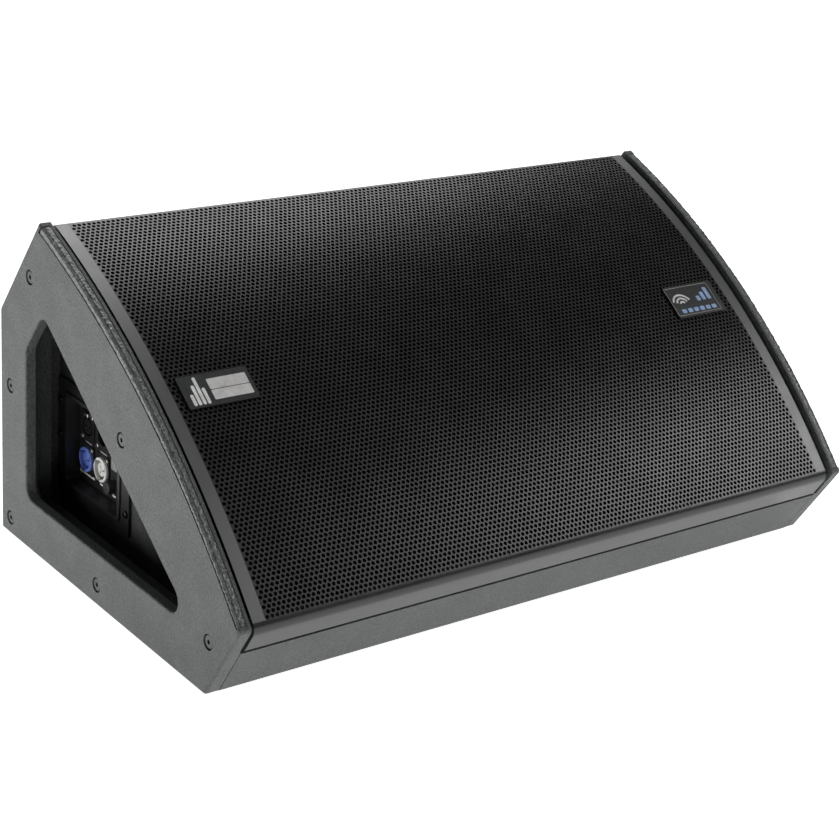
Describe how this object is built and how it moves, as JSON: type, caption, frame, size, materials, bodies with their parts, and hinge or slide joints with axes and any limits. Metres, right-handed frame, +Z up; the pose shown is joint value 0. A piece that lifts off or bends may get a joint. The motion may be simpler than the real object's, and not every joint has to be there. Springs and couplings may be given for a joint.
{
  "type": "stage monitor wedge",
  "caption": "Powered floor monitor wedge: low cabinet with curved perforated grille, side cheeks with hand openings, recessed connector tray and a coaxial driver inside.",
  "frame": {"origin": "under the middle of the cabinet, on the plane the rubber feet stand on", "axes": "+X to the right seen from the front, front faces -Y, +Z up; the connector tray is at the -X end"},
  "size_m": [0.73, 0.4382, 0.3398],
  "materials": {
    "cheek_paint": "mottled matt paint",
    "cabinet_paint": "mottled matt paint",
    "recess_paint": "matt black paint",
    "bare_plywood": "black-stained plywood",
    "edge_strip_coating": "rough glossy",
    "grille_paint": "satin powder coat",
    "grille_foam": "open-cell foam",
    "black_screws": "black zinc",
    "grey_screws": "grey phosphate",
    "zinc_steel": "zinc plated",
    "black_rubber": "matt",
    "badge_plate": "anodised",
    "black_plastic": "moulded",
    "cast_frame": "black painted casting",
    "ferrite": "pressed ferrite",
    "treated_cloth": "doped cloth",
    "spider_cloth": "resin-stiffened cloth",
    "paper_cone": "ribbed pulp",
    "coil_former": "film",
    "coil_winding": "enamelled wire",
    "diaphragm_foil": "formed foil",
    "bare_aluminium": "machined",
    "tray_paint": "textured black",
    "latch_metal": "nickel plated",
    "gold_pins": "gold plated",
    "blue_plastic": "moulded",
    "grey_plastic": "moulded",
    "knob_plastic": "moulded",
    "legend_print": "printed film",
    "galvanised_sheet": "galvanised",
    "circuit_board": "solder mask",
    "brass_posts": "turned",
    "capacitor_sleeve": "shrink sleeve",
    "transformer_tape": "polyester tape",
    "lead_jacket": "extruded"
  },
  "bodies": {
    "root": {"amplifier_board": "circuit_board", "amplifier_housing": "galvanised_sheet", "baffle_board": "bare_plywood", "board_standoffs": "brass_posts", "bottom_panel": "cabinet_paint", "cheek_battens": "recess_paint", "cheek_screws": "grey_screws", "connector_screws": "zinc_steel", "connector_tray": "tray_paint", "edge_strips": "edge_strip_coating", "foot_screws": "zinc_steel", "front_lip_panel": "cabinet_paint", "grille": "grille_paint", "grille_foam": "grille_foam", "heat_sink": "bare_aluminium", "hf_front_plate": "zinc_steel", "hf_horn": "black_plastic", "hf_lead": "lead_jacket", "hf_magnet": "ferrite", "hf_phase_plug": "black_plastic", "hf_rear_cover": "bare_aluminium", "left_badge": "badge_plate", "left_cheek": "cheek_paint", "left_partition": "recess_paint", "legend_plate": "legend_print", "level_potentiometer": "zinc_steel", "link_pins": "gold_pins", "mains_flange_plates": "black_plastic", "mains_inlet": "blue_plastic", "mains_outlet": "grey_plastic", "pan_head_screws": "black_screws", "port_ducts": "black_plastic", "power_board": "circuit_board", "rear_panel": "cabinet_paint", "reservoir_capacitors": "capacitor_sleeve", "right_badge": "badge_plate", "right_cheek": "cheek_paint", "right_partition": "recess_paint", "rubber_feet": "black_rubber", "signal_input_socket": "black_plastic", "signal_link_plug": "black_plastic", "spider": "spider_cloth", "surround": "treated_cloth", "switching_transformer": "transformer_tape", "top_rear_panel": "cabinet_paint", "woofer_back_plate": "zinc_steel", "woofer_bolts": "black_screws", "woofer_frame": "cast_frame", "woofer_gasket": "black_rubber", "woofer_lead": "lead_jacket", "woofer_magnet": "ferrite", "woofer_tee_nuts": "zinc_steel", "woofer_terminal_block": "black_plastic", "woofer_top_plate": "zinc_steel"},
    "cone_assembly": {"cone": "paper_cone", "voice_coil_former": "coil_former", "voice_coil_winding": "coil_winding"},
    "hf_diaphragm": {"hf_diaphragm": "diaphragm_foil"},
    "input_latch": {"input_latch_tab": "latch_metal"},
    "level_control": {"level_knob": "knob_plastic"}
  },
  "joints": [
    {"name": "cone_excursion", "type": "slide", "parent": "root", "child": "cone_assembly", "axis": [0, -0.5742, 0.8187], "range_m": [-0.006, 0.006], "stiffness_N_per_m": 4500, "deforming": ["surround", "spider"]},
    {"name": "hf_diaphragm_excursion", "type": "slide", "parent": "root", "child": "hf_diaphragm", "axis": [0, -0.5742, 0.8187], "range_m": [-0.0004, 0.0004], "stiffness_N_per_m": 2500},
    {"name": "input_latch_press", "type": "slide", "parent": "root", "child": "input_latch", "axis": [1, 0, 0], "range_m": [0, 0.002], "stiffness_N_per_m": 600},
    {"name": "level_turn", "type": "hinge", "parent": "root", "child": "level_control", "pos_m": [-0.298, 0.11156, 0.077], "axis": [1, 0, 0], "range_deg": [-150, 150]}
  ]
}
